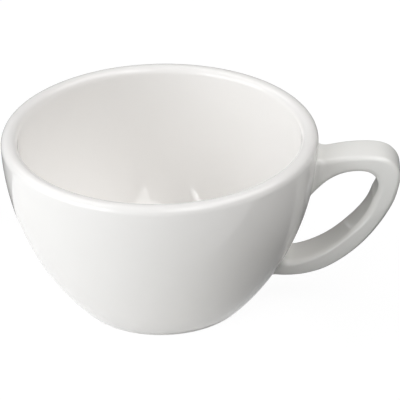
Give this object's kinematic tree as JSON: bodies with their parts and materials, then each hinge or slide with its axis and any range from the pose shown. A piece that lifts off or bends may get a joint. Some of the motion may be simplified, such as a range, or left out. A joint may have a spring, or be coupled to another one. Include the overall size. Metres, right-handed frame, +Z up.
{
  "type": "cappuccino cup",
  "caption": "White glazed porcelain cappuccino cup with a round bowl that tapers to a low foot ring, a thick rounded lip and a flat-sided loop handle.",
  "frame": {"origin": "on the bowl's axis, in the plane of the foot ring's standing face, so the cup stands on the plane z = 0", "axes": "+Z up along the bowl's axis out of its mouth; +X from the axis towards the handle; +Y to the left of +X, so the picture looks along +Y, turned 4 degrees, from above"},
  "size_m": [0.1261, 0.1, 0.0585],
  "materials": {
    "glazed_porcelain": "white hard-paste porcelain under a clear glossy glaze, left bare on the foot ring's standing face",
    "handle_porcelain": "the same porcelain and glaze on the cast handle",
    "fired_slip": "fired porcelain slip, glazed over where it shows at its edges"
  },
  "bodies": {
    "root": {"bowl": "glazed_porcelain", "handle": "handle_porcelain", "upper_slip_joint": "fired_slip", "lower_slip_joint": "fired_slip"}
  },
  "joints": []
}
